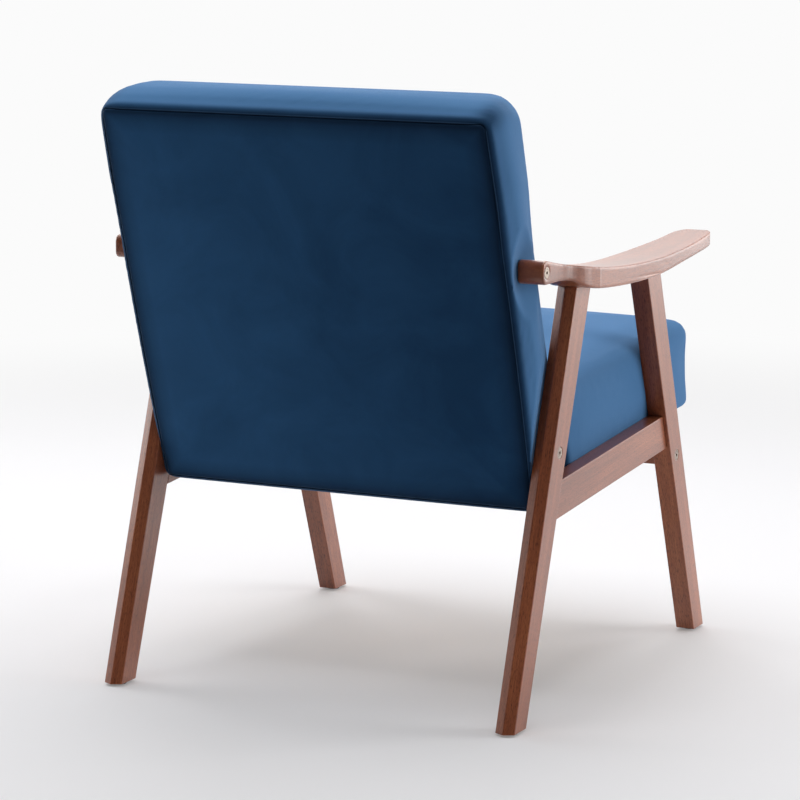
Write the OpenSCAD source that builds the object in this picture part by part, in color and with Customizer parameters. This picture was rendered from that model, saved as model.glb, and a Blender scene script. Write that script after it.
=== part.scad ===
// Open-arm lounge chair: two hardwood side frames with shaped armrests,
// joined by cross rails and carrying an upholstered seat and a raked back.
// The chair faces -Y. The origin is on the floor, under the middle of the chair.

/* [Side frames] */
// Width over the outer faces of the legs
frame_w = 600; // [560:5:660]
// Distance over the feet from front to back, without the ridges
foot_span = 662; // [640:2:690]
// Thickness of a leg across the chair
leg_t = 27; // [25:1:32]
// Depth of a leg at the floor, without its ridge
foot_depth = 36.5; // [34:0.5:42]
// Lean of a leg's outer edge from the vertical, in degrees
leg_lean = 19; // [18:0.25:19.5]
// Taper of a leg towards the floor, in degrees
leg_taper = 1; // [0.4:0.2:1.6]
// Height of the ridge along a leg's outer edge
ridge_h = 6.5; // [3:0.5:9]
// Height of a side rail's top edge at mid length
rail_z = 316; // [312:1:322]
// Height of a side rail's face
rail_h = 48; // [44:1:54]
// Rise of the side rails towards the front, in degrees
rail_rise = 4.3; // [3.5:0.1:5]
// Distance from a leg's outer face back to the rail's outer face
rail_set = 5; // [2:1:7]
// Diameter of a foot glide
glide_d = 18; // [14:1:22]
// Thickness of a foot glide
glide_t = 3; // [2:0.5:5]

/* [Armrests] */
// Length of an armrest
arm_len = 567; // [550:1:580]
// Distance from the rear feet's outer edges forward to the armrest's rear end
arm_back = 60; // [55:1:65]
// Height of the lowest point of the armrest's top face
arm_z = 564; // [555:1:575]
// Rise of the top face from there to the rear end
arm_rise_back = 36; // [30:1:38]
// Rise of the top face from there to the front end
arm_rise_front = 12.5; // [8:0.5:18]
// Thickness of the belly under the middle of the armrest
arm_belly = 24; // [22:0.5:27]
// Width of the neck at the rear end
arm_neck_w = 36.5; // [34:0.5:42]
// Overhang of the paddle outside the leg's outer face
arm_over = 31; // [24:1:38]
// Greatest width of the paddle
arm_paddle_w = 69; // [60:1:78]

/* [Seat] */
// Height of the seat cushion's underside at mid length
seat_z = 302.4; // [299:0.5:306]
// Rise of the seat towards the front, in degrees
seat_tilt = 2.9; // [2.4:0.1:3.4]
// Distance by which the cushion's front face stands ahead of the front feet
seat_front = 5; // [-11:1:6]
// Thickness of the seat cushion at its edges
seat_h = 126.5; // [110:0.5:136]
// Crown of the seat cushion
seat_crown = 16; // [6:1:20]
// Radius of the seat cushion's upright corners
seat_corner = 14; // [10:1:24]
// Radius of the seat cushion's top edge
seat_roll = 24; // [14:1:30]
// Thickness of the seat board
board_t = 12; // [9:1:15]
// Inset of the seat board from the cushion's sides
board_inset = 10; // [6:1:16]
// Thickness of the cross rails
cross_t = 22; // [20:1:26]
// Height of the front cross rail
front_cross_h = 46; // [42:1:50]
// Height of the rear cross rail
rear_cross_h = 32; // [30:1:36]
// Leg length of a corner block
block_w = 48; // [42:1:56]
// Height of a corner block
block_h = 20; // [16:1:24]

/* [Back] */
// Lean of the back from the vertical, in degrees
back_lean = 17.1; // [16.5:0.1:18]
// Length of the back along its slope
back_len = 535.5; // [525:0.5:545]
// Thickness of the back
back_t = 103; // [98:1:106]
// Distance from the rear feet's outer edges forward to the back's lower rear edge
back_y = 122; // [118:1:124]
// Height of the back's lower rear edge
back_z = 264; // [260:1:268]
// Corner radius at the top of the back's front edge
back_corner = 38; // [32:1:48]
// Corner radius at the top of the back's rear seam
seam_corner = 14; // [10:1:20]
// Crown of the back's front face
back_crown = 8; // [3:1:12]
// Radius at which the cover turns over the back's rear edge
rear_roll = 7; // [5:0.5:9]
// Distance from the back's edge in to the rear panel
panel_set = 7; // [6:0.5:10]
// Thickness of the rear panel at its edges
panel_t = 6; // [5:0.5:8]
// Crown of the rear panel
panel_crown = 7; // [3:1:10]
// Padding between the back's side and its timber frame
side_pad = 10.5; // [9:0.5:14]
// Padding above the timber frame
top_pad = 18; // [16:1:24]
// Width of the back frame's timbers
timber_w = 30; // [26:1:36]
// Thickness of the back frame's cross members
timber_t = 26; // [22:1:30]
// Width of a webbing strap
web_w = 50; // [40:1:60]
// Thickness of a webbing strap
web_t = 2; // [1:0.5:3]

/* [Fastenings] */
// Diameter of the connector bolts
bolt_d = 6; // [5:0.5:8]
// Diameter of a bolt's flat head
bolt_head_d = 15; // [13:0.5:17]
// Thickness of a bolt's head
bolt_head_t = 2.5; // [2:0.5:3]
// Depth of the bolt head's recess
recess_depth = 3; // [2.5:0.5:4]
// Outer diameter of an insert nut
insert_d = 10; // [9.5:0.5:12]
// Length of an insert nut
insert_l = 13; // [11:1:16]
// Diameter of the dowels
dowel_d = 8; // [6:1:10]
// Length of the dowels between rails and legs
dowel_l = 34; // [28:1:40]
// Diameter of the seat screws
screw_d = 4.5; // [4:0.5:5]
// Clearance round a bolt, dowel or insert
fit = 0.15; // [0.1:0.05:0.3]
// Clearance round an upholstered piece
soft_gap = 0.3; // [0.3:0.1:0.6]

/* [Hidden] */

$fn = 48;
wood = "#7a4630";
pale_wood = "#c9a878";
velvet = "#3f6c99";

half_w = frame_w / 2;
inner_x = half_w - leg_t;
soft_x = inner_x - soft_gap;
leg_x = half_w - leg_t / 2;
foot_y = foot_span / 2;
rail_t = leg_t - rail_set;
rail_x = inner_x + rail_t / 2;

back_foot_y = foot_y - back_y;
arm_rear_y = foot_y - arm_back;

// Depth centre: the back's top seam behind, the front feet's ridges in front
ridge_y = foot_y + ridge_h / cos(leg_lean) - glide_t * tan(leg_lean);
turn_step = 22.5;
rear_y = back_foot_y + back_len * sin(back_lean)
    - rear_roll * (sin(back_lean) + cos(back_lean) - cos(turn_step - back_lean));
centre_y = (rear_y - ridge_y) / 2;

module place() {
    translate([0, -centre_y, 0]) children();
}

module both_sides() {
    children();
    mirror([1, 0, 0]) children();
}

// Turns an outline drawn as [y, z] into a plate t thick across the chair, from x on
module side_plate(x, t) {
    translate([x, 0, 0]) rotate([90, 0, 90]) linear_extrude(t) children();
}

// Points on a circular arc
function arc(c, r, a0, a1, n) =
    [for (i = [0:n]) let (a = a0 + (a1 - a0) * i / n) c + r * [cos(a), sin(a)]];

// One stretch of a smooth curve between p1 and p2, with neighbours p0 and p3
function stretch(p0, p1, p2, p3, t) =
    0.5 * (2 * p1 + (p2 - p0) * t + (2 * p0 - 5 * p1 + 4 * p2 - p3) * t * t
    + (3 * p1 - p0 - 3 * p2 + p3) * t * t * t);

// Smooth curve through all the given points, with n steps between neighbours
function smooth(p, n) = concat(
    [for (i = [0:len(p) - 2], k = [0:n - 1])
        stretch(p[max(i - 1, 0)], p[i], p[i + 1], p[min(i + 2, len(p) - 1)], k / n)],
    [p[len(p) - 1]]);

// Legs

// Depth position of a leg's outer and inner edges at height z
function leg_outer(z) = foot_y - z * tan(leg_lean);
function leg_inner(z) = foot_y - foot_depth - z * tan(leg_lean + leg_taper);
function leg_mid(z) = (leg_outer(z) + leg_inner(z)) / 2;

leg_reach = 40;
ridge_section = [
    [-leg_t / 2, -3 * foot_depth], [leg_t / 2, -3 * foot_depth],
    [leg_t / 2, 0], [0, ridge_h], [-leg_t / 2, 0]
];

// Rear leg blank: a tapered plank whose outer edge is planed to a ridge
module leg_blank() {
    top = arm_z + leg_reach;
    intersection() {
        side_plate(inner_x, leg_t)
            polygon([
                [leg_inner(glide_t), glide_t], [leg_outer(glide_t) + 2 * ridge_h, glide_t],
                [leg_outer(top) + 2 * ridge_h, top], [leg_inner(top), top]
            ]);
        translate([leg_x, foot_y, 0]) rotate([leg_lean, 0, 0])
            translate([0, 0, -leg_reach]) linear_extrude(top * 1.2 + leg_reach)
                polygon(ridge_section);
    }
}

// A leg is mirrored front to back for the front pair: turn is 1 at the rear, -1 in front
module leg(turn) {
    difference() {
        scale_y(turn) leg_blank();
        side_plate(inner_x - 1, leg_t + 2) arm_above();
        for (p = arm_dowel_spots(turn)) translate([leg_x, p, arm_seat(p) - arm_dowel_leg - 1])
            cylinder(h = leg_reach, d = dowel_d + 2 * fit);
        for (s = rail_dowel_spots) rail_dowel_place(turn, s)
            cylinder(h = dowel_l + 2, d = dowel_d + 2 * fit, center = true);
        bolt_bore(turn > 0 ? rear_bolt : front_bolt, half_w);
        translate([leg_x, turn * glide_y, 0])
            cylinder(h = glide_pin_l + glide_t + 1, d = glide_pin_d + 2 * fit);
    }
}

module scale_y(turn) {
    if (turn > 0) children();
    else mirror([0, 1, 0]) children();
}

glide_y = foot_y - foot_depth / 2;
glide_pin_d = 3;
glide_pin_l = 16;

module foot_glide() {
    cylinder(h = glide_t, d = glide_d);
    cylinder(h = glide_pin_l + glide_t, d = glide_pin_d);
}

// Side rails

rail_k = tan(rail_rise);
function rail_top(y) = rail_z - rail_k * y;

// Height at which the rail line z0 - rail_k * y meets a leg's inner edge
function rail_meet(z0, turn) =
    let (s = turn * rail_k, t = tan(leg_lean + leg_taper))
    (z0 - s * (foot_y - foot_depth)) / (1 - s * t);
rail_low = rail_z - rail_h / cos(rail_rise);

module rail_outline() {
    rt = rail_meet(rail_z, 1);
    rb = rail_meet(rail_low, 1);
    ft = rail_meet(rail_z, -1);
    fb = rail_meet(rail_low, -1);
    polygon([
        [leg_inner(rt), rt], [leg_inner(rb), rb], [-leg_inner(fb), fb], [-leg_inner(ft), ft]
    ]);
}

rail_dowel_spots = [0.3, 0.7];

// Dowels lie along the rail, at a share s of its height
module rail_dowel_place(turn, s) {
    z = rail_meet(rail_z - s * (rail_z - rail_low), turn);
    translate([rail_x, turn * leg_inner(z), z]) rotate([90 - rail_rise, 0, 0]) children();
}

module side_rail() {
    difference() {
        side_plate(inner_x, rail_t) rail_outline();
        for (turn = [-1, 1], s = rail_dowel_spots) rail_dowel_place(turn, s)
            cylinder(h = dowel_l + 2, d = dowel_d + 2 * fit, center = true);
        for (p = cross_dowel_spots) cross_dowel_place(p)
            cylinder(h = cross_dowel_l + 1, d = dowel_d + 2 * fit, center = true);
    }
}

// Armrests, drawn by distance d from the rear end

arm_low_d = 350;
arm_rise_power = 2.2;
arm_end_r = 10;
arm_corner_r = 3.5;
arm_tip_r = 8;
arm_nose_r = 3;
arm_steps = 24;
neck_rise = 3;

function arm_y(d) = arm_rear_y - d;
function arm_top(d) = d < arm_low_d
    ? arm_z + arm_rise_back * pow((arm_low_d - d) / arm_low_d, arm_rise_power)
    : arm_z + arm_rise_front * pow((d - arm_low_d) / (arm_len - arm_low_d), 1.5);

// Underside as shares of the length and of the belly: a straight neck, a step down
// in front of it, then the belly and a thinner front
arm_under_shares = [
    [0.113, -0.083], [0.148, 0.0625], [0.182, 0.417], [0.238, 0.646], [0.353, 0.854],
    [0.476, 0.958], [0.617, 0.917], [0.758, 0.646], [0.882, 0.4375]
];
arm_under = smooth(concat(
    [[arm_end_r, neck_rise]],
    [for (s = arm_under_shares) [s[0] * arm_len, -s[1] * arm_belly]],
    [[arm_len - 2 * arm_nose_r, -0.3125 * arm_belly]]), 4);
arm_under_points = [for (p = arm_under) [arm_y(p[0]), arm_z + p[1]]];
arm_under_end = arm_under_points[len(arm_under_points) - 1];

// Height of the underside at depth y
function arm_seat(y) = lookup(-y, [for (p = arm_under_points) [-p[0], p[1]]]);

// The rear end is rounded in side view, with its upper round tangent to the rising top
module arm_side_outline() {
    end_lean = atan((arm_top(arm_end_r) - arm_top(2 * arm_end_r)) / arm_end_r);
    end_d = arm_end_r * (1 + sin(end_lean));
    end_z = arm_top(end_d) - arm_end_r * cos(end_lean);
    low_z = arm_z + neck_rise + arm_end_r;
    tip_d = arm_len - arm_tip_r;
    top_step = (tip_d - end_d) / arm_steps;
    polygon(concat(
        arc([arm_y(tip_d), arm_top(tip_d) - arm_tip_r], arm_tip_r, 180, 95, 6),
        [for (i = [0:arm_steps]) [arm_y(tip_d - i * top_step), arm_top(tip_d - i * top_step)]],
        arc([arm_y(arm_end_r), end_z], arm_end_r, 75 + end_lean, 0, 6),
        arc([arm_y(arm_end_r), low_z], arm_end_r, 0, -75, 6),
        arm_under_points,
        arc(arm_under_end + [0, arm_nose_r], arm_nose_r, 270, 180, 3)
    ));
}

// Everything above the underside, which trims the legs to their seats
module arm_above() {
    polygon(concat(arm_under_points, [
        [arm_y(arm_len), arm_z + 3 * leg_reach], [arm_y(arm_end_r), arm_z + 3 * leg_reach]
    ]));
}

arm_neck_x = inner_x + arm_neck_w;
arm_out_x = half_w + arm_over;
arm_in_x = arm_out_x - arm_paddle_w;

// The plan is given as shares of the length, and of the paddle's width in from its outer
// edge, or out from the chair's side of it for the inner edge
crease_share = 0.2363;
arm_bulge_shares = [[0.079, 0], [0.132, 0.11], [0.185, 0.77], [crease_share, 0.98]];
arm_outer_shares = [
    [crease_share + 0.002, 0.013], [0.388, 0], [0.582, -0.007], [0.776, 0.0145],
    [0.891, 0.058], [0.952, 0.116], [0.982, 0.196], [0.9965, 0.348]
];
arm_inner_shares = [
    [0.995, 0.333], [0.961, 0.145], [0.917, 0.101], [0.847, 0.087],
    [0.705, 0.0145], [0.6, 0], [0.476, 0.058]
];

arm_plan_outer = concat(
    arc([arm_corner_r, arm_neck_x - arm_corner_r], arm_corner_r, 180, 90, 5),
    smooth([for (s = arm_bulge_shares)
        [s[0] * arm_len, arm_neck_x + s[1] * (arm_out_x - arm_neck_x)]], 5),
    smooth([for (s = arm_outer_shares) [s[0] * arm_len, arm_out_x - s[1] * arm_paddle_w]], 5));

arm_plan_inner = concat(
    smooth(concat(
        [[arm_len, arm_out_x - 0.478 * arm_paddle_w]],
        [for (s = arm_inner_shares) [s[0] * arm_len, arm_in_x + s[1] * arm_paddle_w]],
        [[0.353 * arm_len, inner_x - 0.022 * arm_paddle_w], [0.265 * arm_len, inner_x]]), 5),
    arc([arm_corner_r, inner_x + arm_corner_r], arm_corner_r, 270, 180, 4));

module arm_plan() {
    polygon([for (p = concat(arm_plan_outer, arm_plan_inner)) [p[1], arm_y(p[0])]]);
}

// The chamfer under the paddle's outer edge fades out towards the front
chamfer_d = 0.353 * arm_len;
chamfer_h = 9;
chamfer_up = 2;
chamfer_lean = 30;
chamfer_fall = 3.2;

module arm_chamfer() {
    translate([arm_out_x, arm_y(chamfer_d), arm_z - arm_belly + chamfer_up + chamfer_h])
        rotate([chamfer_fall, 0, 0]) rotate([0, -chamfer_lean, 0])
            translate([0, -arm_len / 2, -3 * leg_reach]) cube([arm_paddle_w, arm_len, 3 * leg_reach]);
}

module armrest() {
    difference() {
        intersection() {
            side_plate(arm_in_x - 1, arm_paddle_w + 4) arm_side_outline();
            translate([0, 0, arm_z - 2 * leg_reach]) linear_extrude(4 * leg_reach) arm_plan();
        }
        arm_chamfer();
        for (turn = [-1, 1], p = arm_dowel_spots(turn))
            translate([leg_x, p, arm_seat(p) - leg_reach])
                cylinder(h = leg_reach + arm_dowel_up + 0.5, d = dowel_d + 2 * fit);
        bolt_bore(arm_bolt, arm_neck_x);
    }
}

// Dowels between the legs and the armrest
arm_dowel_leg = 20;
arm_dowel_up = 11;
arm_dowel_gap = 11;
function leg_top_mid(turn) = turn * leg_mid(arm_z - arm_belly);
function arm_dowel_spots(turn) =
    [leg_top_mid(turn) - arm_dowel_gap, leg_top_mid(turn) + arm_dowel_gap];

module arm_dowel(p) {
    translate([leg_x, p, arm_seat(p) - arm_dowel_leg])
        cylinder(h = arm_dowel_leg + arm_dowel_up, d = dowel_d);
}

// Connector bolts, given as [y, z]: the back hangs from the arms and rear legs,
// and the front legs hold the front cross rail
arm_bolt_d = 12;
arm_bolt_drop = 15;
rear_bolt_z = 341.5;
front_bolt_drop = 33.6;
front_bolt_z = seat_z - front_bolt_drop;
arm_bolt = [arm_y(arm_bolt_d), arm_top(arm_bolt_d) - arm_bolt_drop];
rear_bolt = [leg_mid(rear_bolt_z), rear_bolt_z];
front_bolt = [-leg_mid(front_bolt_z), front_bolt_z];
bolt_grip = 12;

module bolt_bore(spot, face_x) {
    translate([0, spot[0], spot[1]]) rotate([0, 90, 0]) {
        translate([0, 0, inner_x - 1]) cylinder(h = face_x - inner_x + 2, d = bolt_d + 2 * fit);
        translate([0, 0, face_x - recess_depth]) cylinder(h = recess_depth + 1, d = bolt_head_d + 2 * fit);
    }
}

// A bolt with a flat head and a hexagon socket, its tip bolt_grip past tip_x
module bolt(spot, face_x, tip_x) {
    seat_x = face_x - recess_depth;
    translate([0, spot[0], spot[1]]) rotate([0, 90, 0]) difference() {
        union() {
            translate([0, 0, seat_x]) cylinder(h = bolt_head_t, d = bolt_head_d);
            translate([0, 0, tip_x - bolt_grip]) cylinder(h = seat_x - tip_x + bolt_grip, d = bolt_d);
        }
        translate([0, 0, seat_x + bolt_head_t / 3]) cylinder(h = bolt_head_t, d = bolt_d * 0.8, $fn = 6);
    }
}

module insert_nut(spot, x) {
    translate([x - insert_l, spot[0], spot[1]]) rotate([0, 90, 0]) difference() {
        cylinder(h = insert_l, d = insert_d);
        translate([0, 0, -1]) cylinder(h = insert_l + 2, d = bolt_d + 2 * fit);
    }
}

module insert_bore(spot, x) {
    translate([x - insert_l - 1, spot[0], spot[1]]) rotate([0, 90, 0])
        cylinder(h = insert_l + 2, d = insert_d + 2 * fit);
}

// Cushions: rings of points joined into a closed skin

side_steps = 5;
corner_steps = 5;

function between(a, b, n) = [for (i = [1:n - 1]) a + (b - a) * i / n];

// A rounded rectangle, counter-clockwise, with radius r0 at its low and r1 at its high corners
function outline(x, y0, y1, r0, r1) =
    let (
        c = [[x - r0, y0 + r0], [x - r1, y1 - r1], [r1 - x, y1 - r1], [r0 - x, y0 + r0]],
        r = [r0, r1, r1, r0],
        arcs = [for (i = [0:3]) arc(c[i], r[i], 90 * i - 90, 90 * i, corner_steps)]
    )
    [for (i = [0:3]) each concat(
        arcs[i], between(arcs[i][corner_steps], arcs[(i + 1) % 4][0], side_steps + 1))];

function lift(ring, z) = [for (p = ring) [p[0], p[1], z]];
function shrink(ring, s, c) = [for (p = ring) c + s * (p - c)];

crown_steps = [0.97, 0.9, 0.78, 0.6, 0.4, 0.2];

// Rings of a crown that rises from a ring at height z
function dome(s) = 1 - pow(s, 4);
function crown(ring, z, rise, c) = [for (s = crown_steps) lift(shrink(ring, s, c), z + rise * dome(s))];

module skin(rings, first, last) {
    n = len(rings[0]);
    m = len(rings);
    polyhedron(
        points = concat([first], [for (r = rings) each r], [last]),
        faces = concat(
            [for (i = [0:n - 1]) [0, 1 + i, 1 + (i + 1) % n]],
            [for (k = [0:m - 2], i = [0:n - 1])
                let (a = 1 + k * n + i, b = 1 + k * n + (i + 1) % n)
                each [[a, a + n, b], [b, a + n, b + n]]],
            [for (i = [0:n - 1])
                [1 + m * n, 1 + (m - 1) * n + (i + 1) % n, 1 + (m - 1) * n + i]]));
}

// Edge profile as [inset, height]: a small roll below, sides drawn in, a larger roll above
function edge_profile(h, low_r, high_r, draw) = concat(
    [for (a = [-90:30:0]) [low_r * (1 - cos(a)), low_r * (1 + sin(a))]],
    [[draw, h * 0.3], [draw, h * 0.6]],
    [for (a = [0:22.5:90]) [high_r * (1 - cos(a)), h - high_r * (1 - sin(a))]]);

// Seat: board, cushion, cross rails and blocks share one tilted frame

module seat_frame() {
    translate([0, 0, seat_z]) rotate([-seat_tilt, 0, 0]) children();
}

// Line of the back's front face, as a distance along the seat at height h above its underside
back_front_y = back_foot_y - back_t * cos(back_lean);
back_front_z = back_z + back_t * sin(back_lean);
seat_low_r = 7;
seat_draw = 2;
seat_behind = back_crown + soft_gap;
seat_lean = back_lean - seat_tilt;
seat_back = (back_front_y - seat_behind) * cos(seat_tilt) - (back_front_z - seat_z) * sin(seat_tilt);
seat_fore = -foot_y - seat_front;

// Shears the cushion's rear end to lie along the back
function rake(ring) = [for (p = ring)
    [p[0], p[1] + tan(seat_lean) * p[2] * (p[1] - seat_fore) / (seat_back - seat_fore), p[2]]];

module seat_form() {
    profile = edge_profile(seat_h, seat_low_r, seat_roll, seat_draw);
    c = [0, (seat_fore + seat_back) / 2];
    rings = [for (p = profile) lift(outline(soft_x - p[0], seat_fore + p[0], seat_back - p[0],
        max(seat_corner - p[0] / 2, 4), max(seat_corner - p[0] / 2, 4)), p[1])];
    top = outline(soft_x - seat_roll, seat_fore + seat_roll, seat_back - seat_roll,
        max(seat_corner - seat_roll / 2, 4), max(seat_corner - seat_roll / 2, 4));
    all_rings = concat(rings, crown(top, seat_h, seat_crown, c));
    skin([for (r = all_rings) rake(r)], [c[0], c[1], 0],
        rake([[c[0], c[1], seat_h + seat_crown]])[0]);
}

board_set = 32;
board_y0 = seat_fore + board_set;
board_y1 = seat_back - board_inset / 2;
board_x = soft_x - board_inset;
vent_d = 24;
vent_pitch = 90;

// Plywood board with rows of air holes, screwed down through the corner blocks
module board_form() {
    mid = (board_y0 + board_y1) / 2;
    translate([0, 0, -board_t]) difference() {
        linear_extrude(board_t - soft_gap) difference() {
            translate([-board_x, board_y0]) square([2 * board_x, board_y1 - board_y0]);
            for (x = [-1.5:1.5], y = [-1:1])
                translate([x * vent_pitch, mid + y * vent_pitch]) circle(d = vent_d);
        }
        for (p = screw_spots) translate([p[0], p[1], -1])
            cylinder(h = screw_in + 1.5, d = screw_d + 2 * fit);
    }
}

front_cross_y = front_bolt[0] * cos(seat_tilt) - (front_bolt[1] - seat_z) * sin(seat_tilt);
rear_cross_set = 7;
rear_cross_y = seat_back - cross_t / 2 - rear_cross_set;
cross_low = [-board_t - front_cross_h, -board_t - rear_cross_h];

module cross_rail(y, h) {
    translate([-inner_x, y - cross_t / 2, -board_t - h]) cube([2 * inner_x, cross_t, h]);
}

module front_cross() {
    difference() {
        seat_frame() cross_rail(front_cross_y, front_cross_h);
        both_sides() insert_bore(front_bolt, inner_x);
    }
}

cross_dowel_l = 28;
cross_dowel_gap = 6;
cross_dowel_spots = [-1, 1];

// The rear cross rail's dowels run across the chair into the side rails
module cross_dowel_place(s) {
    seat_frame() translate([inner_x, rear_cross_y + s * cross_dowel_gap, -board_t - dowel_d - s * 1.5])
        rotate([0, 90, 0]) children();
}

module rear_cross() {
    difference() {
        seat_frame() cross_rail(rear_cross_y, rear_cross_h);
        both_sides() for (s = cross_dowel_spots) cross_dowel_place(s)
            cylinder(h = cross_dowel_l + 1, d = dowel_d + 2 * fit, center = true);
    }
}

// Blocks glued into the four corners, each with one screw up into the board
block_inset = 14;
screw_in = 8;
screw_head_d = 8.5;
screw_head_h = 3;
block_faces = [[front_cross_y + cross_t / 2, 1], [rear_cross_y - cross_t / 2, -1]];
screw_spots = [for (f = block_faces, side = [-1, 1])
    [side * (inner_x - block_inset), f[0] + f[1] * block_inset]];

module block(f) {
    translate([0, 0, -board_t - block_h]) linear_extrude(block_h)
        polygon([[inner_x, f[0]], [inner_x, f[0] + f[1] * block_w], [inner_x - block_w, f[0]]]);
}

module seat_screw() {
    translate([0, 0, -board_t - block_h]) {
        cylinder(h = screw_head_h, d1 = screw_head_d, d2 = screw_d);
        cylinder(h = block_h + screw_in, d = screw_d);
    }
}

module screw_bore() {
    translate([0, 0, -board_t - block_h]) {
        cylinder(h = screw_head_h, d1 = screw_head_d + 2 * fit, d2 = screw_d + 2 * fit);
        translate([0, 0, -1]) cylinder(h = block_h + 2, d = screw_d + 2 * fit);
    }
}

// Back: everything is drawn in a frame that leans with it, z along its slope,
// y towards the rear, with the lower rear edge at the origin

module back_frame() {
    translate([0, back_foot_y, back_z]) rotate([-back_lean, 0, 0]) children();
}

// A point [y, z] of the chair in the back's own frame
function in_back(p) =
    let (dy = p[0] - back_foot_y, dz = p[1] - back_z)
    [dy * cos(back_lean) - dz * sin(back_lean), dy * sin(back_lean) + dz * cos(back_lean)];

low_corner = 12;
back_roll = 14;
back_puff = 3;
panel_ease = 2;
frame_low = 12;
stile_depth = 58;
frame_front = panel_t + stile_depth;
stile_x = soft_x - side_pad;
frame_top = back_len - top_pad;

// Upholstery is drawn lying down, with its depth upwards, and stood up by this turn
module stand_up() {
    rotate([90, 0, 0]) children();
}

function back_radius(depth) = seam_corner
    + (back_corner - seam_corner) * pow(min(1, depth / (back_t - back_roll)), 2);

// Above the arms the back spreads a little beyond the width between them
shoulder = 4;
shoulder_low = 352;
shoulder_high = 430;
function spread(ring, most) = [for (p = ring)
    let (s = max(0, min(1, (p[1] - shoulder_low) / (shoulder_high - shoulder_low))))
    [p[0] * (1 + most / soft_x * s * s * (3 - 2 * s)), p[1], p[2]]];

// The top swells by puff and the sides above the arms by most
function back_ring(inset, puff, most, depth) = spread(lift(outline(soft_x - inset, inset,
    back_len + puff - inset, low_corner, max(back_radius(depth) - inset / 2, 6)), depth), most);

module back_form() {
    c = [0, back_len / 2];
    turn_over = [for (a = [0:turn_step:90])
        [rear_roll * (1 - sin(a)), 0, shoulder / 2, rear_roll * (1 - cos(a))]];
    body = [
        [0, back_puff * 0.6, shoulder * 0.8, rear_roll + 10],
        [0, back_puff * 1.3, shoulder * 1.1, rear_roll + 20],
        [0, back_puff * 2, shoulder * 1.4, rear_roll + 42],
        [0, back_puff * 1.8, shoulder * 1.3, rear_roll + 64]
    ];
    roll = [for (a = [0:22.5:90])
        [back_roll * (1 - cos(a)), back_puff, shoulder, back_t - back_roll * (1 - sin(a))]];
    front = outline(soft_x - back_roll, back_roll, back_len + back_puff - back_roll,
        low_corner, back_corner - back_roll / 2);
    rings = concat([for (p = concat(turn_over, body, roll)) back_ring(p[0], p[1], p[2], p[3])],
        crown(spread(front, shoulder), back_t, back_crown, c));
    stand_up() skin(rings, [c[0], c[1], 0], [c[0], c[1], back_t + back_crown]);
}

// Outline of the rear panel, shrunk by inset
function panel_ring(inset, depth) = spread(lift(outline(soft_x - inset, inset, back_len - inset,
    max(low_corner - panel_set, 4), max(seam_corner - panel_set, 4)), depth), shoulder / 2);

// The rear panel lies in this shallow seat
module panel_seat() {
    stand_up() translate([0, 0, -1]) linear_extrude(panel_t + soft_gap + 1)
        polygon([for (p = panel_ring(panel_set - soft_gap, 0)) [p[0], p[1]]]);
}

// Hollow behind the foam for the timber frame and its webbing
module back_pocket() {
    reach = stile_x + soft_gap;
    deep = frame_front + web_t + soft_gap;
    translate([-reach, -deep, frame_low - soft_gap])
        cube([2 * reach, deep, frame_top - frame_low + 2 * soft_gap]);
}

module panel_form() {
    c = [0, back_len / 2];
    edge = panel_ring(panel_set + panel_ease, 0);
    bulge = [for (i = [len(crown_steps) - 1:-1:0]) let (s = crown_steps[i])
        lift(shrink(edge, s, c), -panel_crown * dome(s))];
    rings = concat(bulge, [edge, panel_ring(panel_set, panel_ease), panel_ring(panel_set, panel_t)]);
    stand_up() skin(rings, [c[0], c[1], -panel_crown], [c[0], c[1], panel_t]);
}

// Box of the back's frame: x from x0 to x1, height z0 to z1, depth y0 to y1 from the rear
module timber(x0, x1, z0, z1, d0, d1) {
    translate([x0, -d1, z0]) cube([x1 - x0, d1 - d0, z1 - z0]);
}

timber_d0 = panel_t + soft_gap;
arm_rail_z = in_back(arm_bolt)[1];
bottom_rail_h = 44;
tenon_depth = timber_d0 + timber_t / 2;
back_members = [
    [frame_top - timber_w, frame_top],
    [arm_rail_z - timber_w / 2, arm_rail_z + timber_w / 2],
    [frame_low, frame_low + bottom_rail_h]
];

module back_dowel_places() {
    for (m = back_members, s = [-1, 1])
        translate([stile_x - timber_w, -tenon_depth, (m[0] + m[1]) / 2 + s * (m[1] - m[0]) / 4])
            rotate([0, 90, 0]) children();
}

module stile() {
    difference() {
        back_frame() timber(stile_x - timber_w, stile_x, frame_low, frame_top, timber_d0, frame_front);
        for (b = [arm_bolt, rear_bolt]) insert_bore(b, stile_x);
        back_frame() back_dowel_places() cylinder(h = dowel_l + 1, d = dowel_d + 2 * fit, center = true);
    }
}

module member(i) {
    x = stile_x - timber_w;
    m = back_members[i];
    back_frame() difference() {
        timber(-x, x, m[0], m[1], timber_d0, timber_d0 + timber_t);
        both_sides() back_dowel_places() cylinder(h = dowel_l + 1, d = dowel_d + 2 * fit, center = true);
    }
}

web_count = 5;
web_margin = 20;
web_in = 8;

module webbing() {
    x = stile_x - web_in;
    pitch = (frame_top - frame_low - web_w - 2 * web_margin) / (web_count - 1);
    for (i = [0:web_count - 1]) let (z = frame_low + web_margin + i * pitch)
        timber(-x, x, z, z + web_w, frame_front, frame_front + web_t);
}

// Sub-parts

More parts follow.
